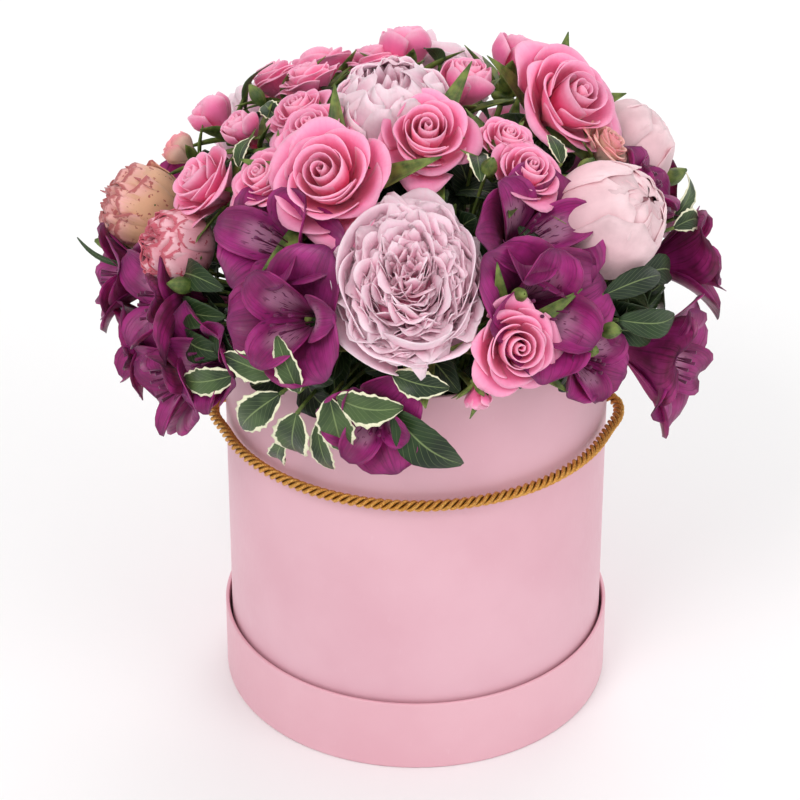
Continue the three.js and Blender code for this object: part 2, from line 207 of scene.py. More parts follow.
class Sheets:
    """Gathers skins of quads with UVs, a tint and a material slot for each."""

    def __init__(self):
        self.points = []
        self.faces = []
        self.uvs = []
        self.tints = []
        self.slots = []
        self.count = 0

    def add(self, grid, uv, tint, slot=0):
        """Rings joined by quads; the last point of a ring joins the first."""
        rows, columns = grid.shape[:2]
        left = np.arange(rows * columns).reshape(rows, columns) + self.count
        right = np.roll(left, -1, axis=1)
        quads = np.stack([left[:-1], right[:-1], right[1:], left[1:]], -1).reshape(-1, 4)
        self.points.append(grid.reshape(-1, 3))
        self.uvs.append(uv.reshape(-1, 2))
        self.tints.append(np.broadcast_to(tint, (rows * columns, 4)).copy())
        self.faces.append(quads)
        self.slots.append(np.full(len(quads), slot))
        self.count += rows * columns

    def cap(self, first, sides, slot, flip=False):
        """Closes a ring of an even number of points with a strip of quads."""
        near = first + np.arange(sides // 2)
        far = first + sides - 1 - np.arange(sides // 2)
        quads = np.stack([near[:-1], near[1:], far[1:], far[:-1]], -1)
        self.faces.append(quads[:, ::-1] if flip else quads)
        self.slots.append(np.full(len(quads), slot))

    def add_turned(self, grid, uv, tint, slot=0):
        """A skin of rings whose first and last rings are closed too."""
        first = self.count
        rows, sides = grid.shape[:2]
        self.add(grid, uv, tint, slot)
        self.cap(first, sides, slot, flip=True)
        self.cap(first + (rows - 1) * sides, sides, slot)

    def add_petal(self, grid, u, v, layer, chance, thick, slot=0):
        """A sheet with a back face and an edge, so that it is a closed thin solid.

        The tint holds the petal's place in the bloom, its chance value, how far along
        the petal a point is, and whether it is on the back.
        """
        along = np.gradient(grid, axis=0)
        across = np.gradient(grid, axis=1)
        normal = np.cross(across, along)
        normal /= np.linalg.norm(normal, axis=-1, keepdims=True) + 1e-12
        back = grid - normal * thick
        rows, columns = grid.shape[:2]
        both = np.concatenate([grid, back[:, ::-1]], axis=1)
        uv = np.stack([u * 0.5 + 0.5, v], -1)
        uv_both = np.concatenate([uv, uv[:, ::-1]], axis=1)
        tint = np.zeros((rows, 2 * columns, 4))
        tint[..., 0] = layer
        tint[..., 1] = chance
        tint[..., 2] = uv_both[..., 1]
        tint[:, columns:, 3] = 1
        self.add_turned(both, uv_both, tint.reshape(-1, 4), slot)

    def merge(self, other, matrix):
        """Takes in another bloom's sheets, moved by the matrix."""
        turn = np.array(matrix)
        for points in other.points:
            self.points.append(points @ turn[:3, :3].T + turn[:3, 3])
        self.faces += [faces + self.count for faces in other.faces]
        self.uvs += other.uvs
        self.tints += other.tints
        self.slots += other.slots
        self.count += other.count

    def build(self, name, materials):
        """The finished object, with its points in metres."""
        mesh = bpy.data.meshes.new(name)
        points = np.concatenate(self.points) * MM
        faces = np.concatenate(self.faces)
        mesh.from_pydata(points.tolist(), [], faces.tolist())
        uv = np.concatenate(self.uvs)
        corner = np.zeros(len(mesh.loops), dtype=np.int32)
        mesh.loops.foreach_get("vertex_index", corner)
        layer = mesh.uv_layers.new(name="UVMap")
        layer.data.foreach_set("uv", uv[corner].astype(np.float32).ravel())
        tint = mesh.attributes.new("tint", "FLOAT_COLOR", "POINT")
        tint.data.foreach_set("color", np.concatenate(self.tints).astype(np.float32).ravel())
        for material in materials:
            mesh.materials.append(material)
        mesh.polygons.foreach_set("material_index", np.concatenate(self.slots).astype(np.int32))
        mesh.polygons.foreach_set("use_smooth", np.ones(len(mesh.polygons), dtype=bool))
        mesh.update()
        return link(bpy.data.objects.new(name, mesh))


def smooth(x):
    x = np.clip(x, 0, 1)
    return x * x * (3 - 2 * x)


def uv_grid(columns, rows):
    """Across a petal from -1 to 1, and along it from 0 to 1."""
    return np.meshgrid(np.linspace(-1, 1, columns), np.linspace(0, 1, rows))


def circle(sides):
    return np.linspace(0, 2 * math.pi, sides, endpoint=False)


def ring_grid(sides, rows):
    return np.meshgrid(circle(sides), np.linspace(0, 1, rows))


def place(azimuth, radius, height):
    """Points at an angle round Z, measured from +X."""
    return np.stack([radius * np.cos(azimuth), radius * np.sin(azimuth), height], -1)


# ---- petals
def cup_petal(sheets, rng, azimuth, radius, height, width, ruffle, waves, layer, shape, base,
              columns, rows, lift, flare=0.0, curl=0.0, dome=0.0, thick=0.35, spiral=0.08,
              point=0.0, shift=(0.0, 0.0)):
    """A petal that stands on a ring round the flower's axis and wraps part of it.

    flare opens the tip, dome closes it, curl rolls it down, spiral sets one side further
    out than the other, and ruffle and waves crumple the edge.
    """
    u, v = uv_grid(columns, rows)
    phase = rng.uniform(0, 2 * math.pi, 3)
    outline = 1 - shape * np.abs(u) ** 2.6 + ruffle * 0.5 * np.sin(waves * 1.7 * u + phase[0])
    outline = outline + point * np.exp(-(u / 0.28) ** 2)
    s = v * outline
    turn = azimuth + u * width * (0.3 + 0.7 * np.sin(np.clip(s * 1.25, 0, 1) * math.pi / 2))
    tip = np.clip((s - 0.55) / 0.45, 0, 1.2)
    r = radius * (base + (1 - base) * smooth(s / 0.75))
    r = r + flare * radius * tip ** 2 + spiral * radius * u * smooth(s * 2)
    r = r - dome * radius * tip ** 1.6
    z = lift + height * (s - curl * tip ** 2.2)
    wave = s ** 3
    r = r + ruffle * radius * np.sin(waves * u + phase[1]) * wave
    z = z + ruffle * height * 0.6 * np.sin(waves * 1.3 * u + phase[2]) * wave
    grid = place(turn, r, z) + np.array([*shift, 0.0])
    sheets.add_petal(grid, u, v, layer, rng.random(), thick)


def strip_petal(sheets, rng, azimuth, line, width, cup, columns, rows, layer=0.0, thick=0.3,
                ruffle=0.0, twist=0.0, slot=0, notch=0.0):
    """A petal along a line of (radius, height), bowed across by cup."""
    u, v = uv_grid(columns, rows)
    r, z = line(v)
    dr = np.gradient(r, axis=0)
    dz = np.gradient(z, axis=0)
    size = np.sqrt(dr ** 2 + dz ** 2) + 1e-9
    out, up = dz / size, -dr / size
    half = width(v)
    phase = rng.uniform(0, 2 * math.pi)
    bow = -cup * half * u ** 2 + ruffle * half * np.sin(5 * v + 3 * u + phase) * np.abs(u) * v
    r = r + out * bow - notch * np.abs(u) ** 2 * dr * 6 * v ** 4
    z = z + up * bow + twist * half * u * v
    radial = np.array([math.cos(azimuth), math.sin(azimuth), 0])
    tangent = np.array([-radial[1], radial[0], 0])
    grid = r[..., None] * radial + (half * u)[..., None] * tangent
    grid[..., 2] = z
    sheets.add_petal(grid, u, v, layer, rng.random(), thick, slot)


GOLDEN = math.radians(137.508)
GREEN = 1                     # material slot of stems, sepals and calyx on every bloom
STEM_TINT = (0.3, 0.5, 0.5, 0)
CORE_TINT = (0.3, 0.5, 0.5, 0)
CALYX_TINT = (0.2, 0.5, 0.5, 0)
PLAIN_TINT = (0.5, 0.5, 0.5, 0)
ANTHER_TINT = (0, 0.9, 0.95, 0)
KNOT_TINT = (0.7, 0.5, 0.5, 0)


def add_sepals(sheets, rng, size, count, length, spread, start):
    """Narrow green sepals under a head and the calyx that they grow from."""
    def width(s):
        return size * 0.1 * np.sin(0.35 + 2.75 * s ** 0.9) + 0.05

    for i in range(count):
        turn = 2 * math.pi * i / count + rng.uniform(-0.2, 0.2)
        open_out = spread * rng.uniform(0.7, 1.25)

        def line(s, open_out=open_out):
            return (size * (0.05 + 0.30 * np.sin(s * 1.5) + open_out * s ** 2),
                    start * size + length * size * s * (1 - 0.35 * open_out * s))

        strip_petal(sheets, rng, turn, line, width, cup=0.5, columns=5, rows=8, slot=GREEN)
    turn, v = ring_grid(12, 6)
    r = size * (0.03 + 0.11 * np.sin(v * math.pi * 0.75))
    z = size * (start - 0.07 + 0.13 * v)
    sheets.add_turned(place(turn, r, z), np.stack([turn, v], -1), CALYX_TINT, GREEN)


def rose(size, seed, openness):
    """A spiral of petals: a tight heart, and outer petals that roll back at the edge."""
    rng = np.random.default_rng(seed)
    sheets = Sheets()
    big = size / 2
    heart = 9
    outer = int(6 + 8 * openness)
    for i in range(heart):
        t = i / (heart - 1)
        cup_petal(
            sheets, rng, i * GOLDEN, big * (0.07 + 0.36 * t), size * (0.66 - 0.02 * t),
            width=2.3 - 0.9 * t, flare=0.12 * t, dome=0.25 * (1 - t) + 0.2 * (1 - openness),
            ruffle=0.015, waves=2, layer=0.42 * t, spiral=0.16, shape=0.14, thick=0.4,
            base=0.25, columns=11, rows=9, lift=-0.30 * size)
    for i in range(outer):
        t = i / (outer - 1)
        grow = openness * t
        cup_petal(
            sheets, rng, 1.0 + i * GOLDEN + rng.uniform(-0.15, 0.15),
            big * (0.46 + (0.16 + 0.20 * openness) * t), size * (0.66 - 0.15 * grow),
            width=rng.uniform(0.88, 1.05) - 0.08 * t, flare=(0.18 + 0.18 * t) * openness,
            curl=0.10 * openness + 0.16 * grow * rng.uniform(0.6, 1.5),
            dome=0.30 * (1 - openness), ruffle=0.02 + 0.045 * grow, waves=rng.uniform(2.2, 3.6),
            layer=0.5 + 0.5 * t, spiral=0.12, shape=0.20 + 0.08 * t, thick=0.45, base=0.10,
            columns=15, rows=12, lift=-0.30 * size, point=0.05 * openness)
    add_sepals(sheets, rng, size, 5, 0.42, 0.25 + 0.25 * openness, -0.34)
    return sheets


def add_core(sheets, radius, low, high):
    """The closed heart under the petals, so that nothing is seen through between them."""
    turn, v = ring_grid(24, 11)
    ball = place(turn, radius * np.sin(math.pi * (0.04 + 0.92 * v)),
                 (low + high) / 2 - (high - low) / 2 * np.cos(math.pi * v))
    sheets.add_turned(ball, np.stack([turn, v], -1), CORE_TINT)


def peony_open(size, seed):
    """A crumpled mass of ruffled petals, held in a bowl of broad guard petals."""
    rng = np.random.default_rng(seed)
    sheets = Sheets()
    big = size / 2
    inner = 250
    for i in range(inner):
        t = ((i + 0.5) / inner) ** 0.64
        radius = big * (0.04 + 0.68 * t)
        half = big * rng.uniform(0.15, 0.26)
        cup_petal(
            sheets, rng, i * GOLDEN + rng.uniform(-0.4, 0.4), radius,
            size * (0.70 - 0.20 * t ** 2) * rng.uniform(0.95, 1.05),
            width=min(1.3, half / radius + 0.04), flare=rng.uniform(0.02, 0.40) / (0.45 + t),
            curl=rng.uniform(0.10, 0.30), ruffle=min(0.12, 0.034 * big / radius),
            waves=rng.uniform(2.5, 4.5), layer=0.10 + 0.7 * t,
            spiral=rng.uniform(-0.7, 0.7) * min(half / radius, 0.7), shape=0.26, thick=0.3,
            base=0.45, columns=11, rows=9, lift=-0.38 * size, point=rng.uniform(-0.06, 0.06),
            shift=rng.normal(0, 0.09 * big * (1 - t), 2))
    add_core(sheets, 0.62 * big, -0.34 * size, 0.08 * size)
    guards = 13
    for i in range(guards):
        t = i / (guards - 1)
        cup_petal(
            sheets, rng, i * GOLDEN, big * (0.70 + 0.08 * t),
            size * (0.62 - 0.14 * t) * rng.uniform(0.86, 1.08), width=rng.uniform(0.62, 0.92),
            flare=(0.13 + 0.10 * t) * rng.uniform(0.3, 1.1), curl=0.04 + 0.10 * t, ruffle=0.045,
            waves=rng.uniform(3, 5), layer=0.8 + 0.2 * t, shape=0.24, thick=0.45, base=0.10,
            columns=17, rows=13, lift=-0.40 * size)
    add_sepals(sheets, rng, size, 5, 0.22, 0.2, -0.42)
    return sheets


def peony_bud(size, seed, loose=0.0):
    """Broad petals folded over one another into a ball; a loose one shows a tuft inside."""
    rng = np.random.default_rng(seed)
    sheets = Sheets()
    big = size / 2
    count = 15
    for i in range(count):
        t = i / (count - 1)
        u, v = uv_grid(17, 14)
        edge = 1 - (0.16 + 0.10 * loose) * np.abs(u) ** 2.4
        edge = edge + (0.02 + 0.03 * loose) * np.sin(6 * u + i)
        s = np.clip(v * edge * (1.07 - 0.20 * t - 0.30 * loose), 0, 1.045)
        swell = big * (0.86 + 0.13 * t) * np.sin(math.pi * (0.03 + 0.93 * s ** 0.95))
        swell = swell + 0.05 * big * smooth((v - 0.86) / 0.14) * (0.4 + t)
        z = -0.46 * size * np.cos(math.pi * (0.02 + 0.95 * s))
        ruffle = (0.02 + 0.08 * loose) * big * np.sin(7 * u + 2 * i) * v ** 4
        wrap = (0.95 - 0.12 * t) * (0.5 + 0.5 * np.sin(math.pi * np.clip(s, 0.1, 0.6)))
        crease = 0.03 * loose * big * np.sin(11 * u + 3 * i) * v ** 1.5
        out = np.maximum(swell + ruffle + crease, 0.02 * big)
        grid = place(i * GOLDEN + u * wrap, out, z + 0.4 * ruffle)
        sheets.add_petal(grid, u, v, t, rng.random(), 0.45)
    if loose:
        tuft = 40
        for i in range(tuft):
            t = math.sqrt((i + 0.5) / tuft)
            cup_petal(
                sheets, rng, i * GOLDEN, big * (0.08 + 0.58 * t), size * (0.80 - 0.14 * t),
                width=rng.uniform(0.5, 0.8), dome=0.20, ruffle=0.055, waves=rng.uniform(2, 3.5),
                layer=0.25 * t, spiral=rng.uniform(-0.2, 0.2), shape=0.22, base=0.3, columns=11,
                rows=9, lift=-0.33 * size, shift=rng.normal(0, 0.04 * big, 2))
    else:
        add_core(sheets, 0.72 * big, -0.40 * size, 0.40 * size)
    add_sepals(sheets, rng, size, 6, 0.34, 0.12, -0.46)
    return sheets


def alstroemeria(size, seed):
    """A lily-like funnel: three broad outer tepals, three narrow streaked ones, stamens."""
    rng = np.random.default_rng(seed)
    sheets = Sheets()
    length = size * 1.02
    spin = rng.uniform(0, 2)
    for i in range(6):
        outer = i % 2 == 0
        wide = length * (0.35 if outer else 0.20) * rng.uniform(0.9, 1.1)
        lean = 0.9 * rng.uniform(0.8, 1.1) * (1.0 if outer else 0.8)
        back = rng.uniform(0.1, 0.3) * lean
        grow = 1.0 if outer else 1.05
        widest = 0.66 if outer else 0.74

        def line(s, lean=lean, back=back, grow=grow):
            r = length * (0.035 + 0.62 * lean * s ** 1.7)
            z = length * (-0.62 + grow * (0.92 * s - 0.16 * lean * s ** 2 - back * s ** 4))
            return r, z

        def width(s, wide=wide, widest=widest):
            past = np.clip(s - widest, 0, 1) / (1.01 - widest)
            tip = np.sqrt(np.clip(1 - past ** 2, 0, 1))
            return wide * (0.11 + 0.89 * smooth((s - 0.08) / 0.58)) * tip

        strip_petal(sheets, rng, spin + i * math.pi / 3, line, width, cup=0.42 if outer else 0.55,
                    layer=0.0 if outer else 1.0, ruffle=0.16, twist=rng.uniform(-0.15, 0.15),
                    columns=11, rows=16, thick=0.35, notch=0.10 if outer else 0.0)
    for i in range(6):
        turn = spin + 0.4 + i * math.pi / 3
        side = rng.uniform(0.02, 0.12)
        path = []
        for s in np.linspace(0, 1, 7):
            out = length * (0.03 + side * s)
            height = length * (-0.55 + 0.66 * s)
            path.append(Vector((out * math.cos(turn), out * math.sin(turn), height)))
        add_tube(sheets, path, lambda s: 0.9 if s > 0.88 else 0.35, 6, ANTHER_TINT, 0)
    return sheets


def green_bud(size, seed):
    """A closed bud: six green scales that meet at the tip."""
    def line(s):
        return size * 0.26 * np.sin(math.pi * (0.06 + 0.9 * s)) + 0.1, size * (s - 0.5)

    def width(s):
        return size * 0.19 * np.sin(0.3 + 2.7 * s) + 0.05

    rng = np.random.default_rng(seed)
    sheets = Sheets()
    for i in range(6):
        strip_petal(sheets, rng, i * math.pi / 3, line, width, cup=0.5, columns=7, rows=10,
                    slot=GREEN, layer=0.6)
    return sheets


# ---- stems and leaves
def tangent_at(points, i):
    return (points[min(i + 1, len(points) - 1)] - points[max(i - 1, 0)]).normalized()


def add_tube(sheets, points, radius, sides, tint, slot):
    """A round tube along the points, with closed ends and an even number of sides."""
    rows = []
    normal = tangent_at(points, 0).orthogonal()
    for i, point in enumerate(points):
        tangent = tangent_at(points, i)
        normal = (normal - tangent * normal.dot(tangent)).normalized()
        binormal = tangent.cross(normal)
        r = radius(i / (len(points) - 1))
        rows.append([list(point + (normal * math.cos(a) + binormal * math.sin(a)) * r)
                     for a in circle(sides)])
    u, v = np.meshgrid(np.linspace(0, 1, sides), np.linspace(0, 1, len(rows)))
    sheets.add_turned(np.array(rows), np.stack([u, v], -1), tint, slot)


def dome_point(azimuth, latitude, reach):
    """A place over the dome; azimuth 0 is the front and 90 the right-hand side."""
    az, lat = math.radians(azimuth), math.radians(latitude)
    out = DOME_R * reach * math.cos(lat)
    return Vector((out * math.sin(az), -out * math.cos(az), DOME_Z + DOME_H * reach * math.sin(lat)))


def dome_normal(azimuth, latitude):
    az, lat = math.radians(azimuth), math.radians(latitude)
    return Vector((math.cos(lat) * math.sin(az), -math.cos(lat) * math.cos(az), math.sin(lat)))


def foot_under(ends):
    """Where the stem that carries these heads or leaves stands in the foam."""
    middle = sum(ends, Vector()) / len(ends)
    out = max(math.hypot(middle.x, middle.y), 1)
    share = min(FOOT_SHARE, FOOT_MAX / out)
    return Vector((middle.x * share, middle.y * share, FOAM_Z - SOCKET_DEPTH))


def stem_path(foot, end, facing, approach):
    """A curve up from the foot that clears the rim and reaches its end along facing."""
    above = Vector((foot.x, foot.y, FOAM_Z + BRANCH_HEIGHT))
    before = end - facing * approach
    before.z = max(before.z, RIM_Z + STEM_LIFT)
    path = []
    for s in np.linspace(0, 1, 12):
        a, b, c, d = (1 - s) ** 3, 3 * s * (1 - s) ** 2, 3 * s * s * (1 - s), s ** 3
        path.append(foot * a + above * b + before * c + end * d)
    return path


def facing_matrix(centre, facing, spin, stretch=(1, 1, 1)):
    """Moves a bloom from the origin to its centre and turns its axis along facing."""
    turn = Vector((0, 0, 1)).rotation_difference(facing).to_matrix().to_4x4()
    return (Matrix.Translation(centre) @ turn @ Matrix.Diagonal((*stretch, 1))
            @ Matrix.Rotation(spin, 4, "Z"))


def add_stalk(sheets, foot, leaf, approach):
    facing = dome_normal(leaf[0], max(leaf[1], 0))
    path = stem_path(foot, dome_point(*leaf[:3]), facing, approach)
    add_tube(sheets, path, lambda s: LEAF_STALK_R, 6, STEM_TINT, GREEN)


def add_leaf(sheets, rng, leaf, jag, taper=0.85):
    """A leaf from base to tip, folded along its midrib and arched between its ends."""
    base, tip = dome_point(*leaf[:3]), dome_point(*leaf[3:6])
    width = leaf[6]
    arch = 0.12
    along = tip - base
    length = along.length
    along.normalize()
    facing = dome_normal((leaf[0] + leaf[3]) / 2, (leaf[1] + leaf[4]) / 2)
    across = facing.cross(along).normalized()
    normal = along.cross(across).normalized()
    if normal.dot(facing) < 0:
        normal, across = -normal, -across
    u, v = uv_grid(9, 18)
    half = width / 2 * np.sin(math.pi * (0.03 + 0.95 * v ** taper)) ** (1.6 - taper)
    half = half * (1 + jag * np.sin(v * 70 + 2 * np.sign(u)) * (np.abs(u) > 0.9))
    phase = rng.uniform(0, 2 * math.pi)
    rise = arch * length * np.sin(math.pi * v) + 0.22 * half * np.abs(u) ** 1.3
    rise = rise + 0.10 * half * np.sin(7 * v + 2.5 * u + phase) * np.abs(u)
    rise = rise - 0.5 * arch * length * v ** 3
    sway = 0.06 * length * np.sin(math.pi * v) * math.sin(phase)
    grid = (np.array(base) + np.array(along) * (v * length)[..., None]
            - np.array(across) * (half * u + sway)[..., None] + np.array(normal) * rise[..., None])
    sheets.add_petal(grid, u, v, rng.random(), rng.random(), 0.4)


# ---- materials
class Nodes:
    """A short way to wire a material's nodes."""

    def __init__(self, name):
        self.material = bpy.data.materials.new(name)
        self.material.use_nodes = True
        self.tree = self.material.node_tree
        self.shader = self.tree.nodes["Principled BSDF"]

    def new(self, kind, **inputs):
        node = self.tree.nodes.new(kind)
        for key, value in inputs.items():
            self.plug(node.inputs[key.replace("_", " ")], value)
        return node

    def plug(self, socket, value):
        if isinstance(value, bpy.types.NodeSocket):
            self.tree.links.new(value, socket)
        else:
            socket.default_value = value

    def coords(self, name):
        return self.new("ShaderNodeTexCoord").outputs[name]

    def noise(self, scale, detail, rough=0.55, vector=None):
        """Noise in object coordinates, which are metres, or in another vector's."""
        vector = vector or self.coords("Object")
        return self.new("ShaderNodeTexNoise", Vector=vector, Scale=scale, Detail=detail,
                        Roughness=rough).outputs["Fac"]

    def stretched(self, scale, detail, along, name="UV"):
        """Noise with its own scale along each axis of the UVs or of the object."""
        node = self.new("ShaderNodeMapping", Vector=self.coords(name))
        node.inputs["Scale"].default_value = along
        return self.noise(scale, detail, vector=node.outputs["Vector"])

    def math(self, operation, a, b=0.5):
        node = self.tree.nodes.new("ShaderNodeMath")
        node.operation = operation
        self.plug(node.inputs[0], a)
        self.plug(node.inputs[1], b)
        return node.outputs[0]

    def plus(self, a, b):
        return self.math("ADD", a, b)

    def times(self, a, b):
        return self.math("MULTIPLY", a, b)

    def off_centre(self, value):
        """How far a value from 0 to 1 is from a half."""
        return self.math("ABSOLUTE", self.math("SUBTRACT", value, 0.5))

    def remap(self, value, low, high, out_low=0.0, out_high=1.0):
        node = self.tree.nodes.new("ShaderNodeMapRange")
        node.interpolation_type = "SMOOTHSTEP"
        for socket, number in zip(node.inputs[:5], (value, low, high, out_low, out_high)):
            self.plug(socket, number)
        return node.outputs[0]

    def mix(self, factor, a, b, blend="MIX"):
        """Mixes colours a and b, each a link or a constant."""
        node = self.tree.nodes.new("ShaderNodeMix")
        node.data_type = "RGBA"
        node.blend_type = blend
        self.plug(node.inputs[0], factor)
        self.plug(node.inputs[6], a)
        self.plug(node.inputs[7], b)
        return node.outputs[2]

    def bump(self, height, strength, distance):
        node = self.new("ShaderNodeBump", Height=height, Strength=strength, Distance=distance)
        self.tree.links.new(node.outputs["Normal"], self.shader.inputs["Normal"])

    def tint(self):
        """The four values that add_petal writes: layer, chance, reach and back."""
        node = self.tree.nodes.new("ShaderNodeAttribute")
        node.attribute_name = "tint"
        parts = self.new("ShaderNodeSeparateColor", Color=node.outputs["Color"])
        return parts.outputs[0], parts.outputs[1], parts.outputs[2], node.outputs["Alpha"]

    def uv(self):
        node = self.new("ShaderNodeSeparateXYZ", Vector=self.coords("UV"))
        return node.outputs[0], node.outputs[1]

    def finish(self, color, roughness, **constants):
        self.plug(self.shader.inputs["Base Color"], color)
        self.plug(self.shader.inputs["Roughness"], roughness)
        for key, value in constants.items():
            self.shader.inputs[key.replace("_", " ")].default_value = value
        return self.material


def rgb(red, green, blue):
    """A colour given as screen values from 0 to 255, as linear light."""
    linear = [((c / 255 + 0.055) / 1.055) ** 2.4 if c > 10 else c / 255 / 12.92
              for c in (red, green, blue)]
    return (*linear, 1.0)


PETAL_GLOW_REACH = (1.0, 0.62, 0.74)     # share of the scale that red, green and blue reach


def petal_material(name, heart, body, edge, back, speckle=None, veins=0.25, glow=0.12):
    """Petals from the heart's colour to the body's, pale at the edge; the heart's colour is partly
    painted recess shade.
    """
    n = Nodes(name)
    layer, chance, reach, is_back = n.tint()
    fibres = n.stretched(1.0, 4, (34, 2.2, 1))
    cloud = n.noise(90, 3)
    # Partly painted shade: inner layers lean to the heart's deeper colour, which also stands for the
    # shade deep in the bloom.
    depth = n.plus(n.times(layer, 0.75), n.times(reach, 0.35))
    tone = n.mix(n.remap(depth, 0.12, 0.85), heart, body)
    rim = n.remap(n.plus(reach, n.times(cloud, 0.25)), 0.80, 1.16)
    tone = n.mix(n.times(rim, 0.75), tone, edge)
    tone = n.mix(n.times(is_back, 0.45), tone, back)
    tone = n.mix(n.times(n.remap(fibres, 0.45, 0.75), veins), tone, body)
    shade = n.remap(n.plus(cloud, n.times(chance, 0.5)), 0.3, 1.1, 0.80, 1.10)
    grey = n.new("ShaderNodeCombineColor", Red=shade, Green=shade, Blue=shade)
    tone = n.mix(1.0, tone, grey.outputs[0], "MULTIPLY")
    # Partly painted shade: the petals' bases, deep between the others, turn towards the heart's
    # colour.
    tone = n.mix(n.remap(reach, 0.0, 0.4, 0.55, 0.0), tone, heart)
    if speckle:
        spots = n.noise(330, 2)
        patches = n.remap(n.plus(spots, n.times(reach, 0.10)), 0.68, 0.73)
        hem = n.remap(n.plus(reach, n.times(spots, 0.16)), 1.00, 1.05)
        tone = n.mix(n.times(n.math("MAXIMUM", patches, hem), 0.8), tone, speckle)
    n.bump(n.plus(fibres, n.times(cloud, 0.6)), 0.35, 0.0005)
    n.shader.inputs["Subsurface Radius"].default_value = PETAL_GLOW_REACH
    return n.finish(tone, n.remap(cloud, 0.2, 0.8, 0.48, 0.66), Subsurface_Weight=glow,
                    Subsurface_Scale=0.005, Sheen_Weight=0.25, Sheen_Roughness=0.4,
                    Specular_IOR_Level=0.35)


def alstroemeria_material():
    """Magenta tepals with darker lengthwise streaks; inner ones pale with dark dashes."""
    n = Nodes("alstroemeria_petal")
    inner, _, reach, is_back = n.tint()
    u, _ = n.uv()
    streaks = n.stretched(1.0, 4, (26, 1.6, 1))
    cloud = n.noise(70, 3)
    tone = n.mix(n.remap(cloud, 0.32, 0.68), rgb(98, 7, 60), rgb(166, 38, 122))
    tone = n.mix(n.times(n.remap(streaks, 0.48, 0.68), 0.7), tone, rgb(60, 4, 36))
    tone = n.mix(n.remap(reach, 0.45, 0.05, 0.0, 0.75), tone, rgb(150, 70, 100))
    tone = n.mix(n.remap(reach, 0.86, 1.0, 0.0, 0.7), tone, rgb(60, 20, 50))
    middle = n.times(n.remap(reach, 0.30, 0.48), n.remap(reach, 0.82, 0.62))
    centre = n.remap(n.off_centre(u), 0.38, 0.16)
    blotch = n.times(n.times(middle, centre), inner)
    tone = n.mix(n.times(blotch, 0.6), tone, rgb(222, 176, 198))
    dashes = n.stretched(1.0, 1, (24, 9, 1))
    marks = n.times(n.remap(dashes, 0.60, 0.66), n.times(middle, inner))
    tone = n.mix(n.times(marks, 0.9), tone, rgb(50, 4, 30))
    tone = n.mix(n.times(is_back, 0.25), tone, rgb(172, 54, 136))
    n.bump(n.plus(streaks, n.times(cloud, 0.5)), 0.45, 0.0006)
    return n.finish(tone, n.remap(streaks, 0.3, 0.7, 0.34, 0.5), Subsurface_Weight=0.08,
                    Subsurface_Scale=0.003, Sheen_Weight=0.06, Specular_IOR_Level=0.32)


def leaf_material(name, body, light, margin=None):
    """Waxy leaf with a midrib and side veins, and a pale broken margin if it has one."""
    n = Nodes(name)
    is_back = n.tint()[3]
    u, v = n.uv()
    across = n.off_centre(u)
    cloud = n.noise(120, 4)
    patch = n.noise(45, 2)
    tone = n.mix(n.remap(patch, 0.35, 0.65), body, light)
    slanted = n.plus(v, n.times(across, -0.7))
    side = n.math("FRACT", n.times(slanted, 9.0))
    vein = n.remap(n.off_centre(side), 0.08, 0.0)
    rib = n.remap(across, 0.035, 0.008)
    lines = n.math("MAXIMUM", rib, n.times(vein, 0.45))
    tone = n.mix(n.times(lines, 0.55), tone, rgb(150, 170, 110))
    tone = n.mix(n.times(is_back, 0.5), tone, rgb(110, 130, 90))
    if margin:
        ragged = n.plus(across, n.times(n.math("SUBTRACT", cloud, 0.5), 0.30))
        tone = n.mix(n.remap(ragged, 0.395, 0.425), tone, margin)
    n.bump(n.math("SUBTRACT", n.times(cloud, 0.5), lines), 0.5, 0.0005)
    return n.finish(tone, n.remap(cloud, 0.3, 0.7, 0.36, 0.54), Specular_IOR_Level=0.36,
                    Sheen_Weight=0.02)


def stem_material():
    """Green stems, sepals and calyx with brown lengthwise ribs."""
    n = Nodes("stem_green")
    cloud = n.noise(180, 4)
    ribs = n.stretched(1.0, 2, (30, 2, 1))
    tone = n.mix(n.remap(cloud, 0.3, 0.7), rgb(58, 84, 34), rgb(128, 146, 70))
    tone = n.mix(n.times(n.remap(ribs, 0.5, 0.75), 0.35), tone, rgb(150, 120, 84))
    n.bump(ribs, 0.4, 0.0004)
    return n.finish(tone, n.remap(cloud, 0.3, 0.7, 0.42, 0.6), Specular_IOR_Level=0.4)


def board_material(name, tone_low, tone_high):
    """Coated wrapping paper on board: a faint mottle, fine grain and small scuffs."""
    n = Nodes(name)
    grain = n.noise(2600, 3, 0.7)
    mottle = n.noise(14, 4)
    fibre = n.stretched(700, 4, (1, 1, 0.25), "Object")
    tone = n.mix(n.remap(mottle, 0.3, 0.7), tone_low, tone_high)
    tone = n.mix(n.remap(fibre, 0.62, 0.8, 0.0, 0.10), tone, rgb(250, 226, 232))
    n.bump(n.plus(grain, n.times(fibre, 0.8)), 0.16, 0.00012)
    return n.finish(tone, n.remap(fibre, 0.3, 0.7, 0.40, 0.52), Specular_IOR_Level=0.42,
                    Coat_Weight=0.06, Coat_Roughness=0.35, Sheen_Weight=0.08)


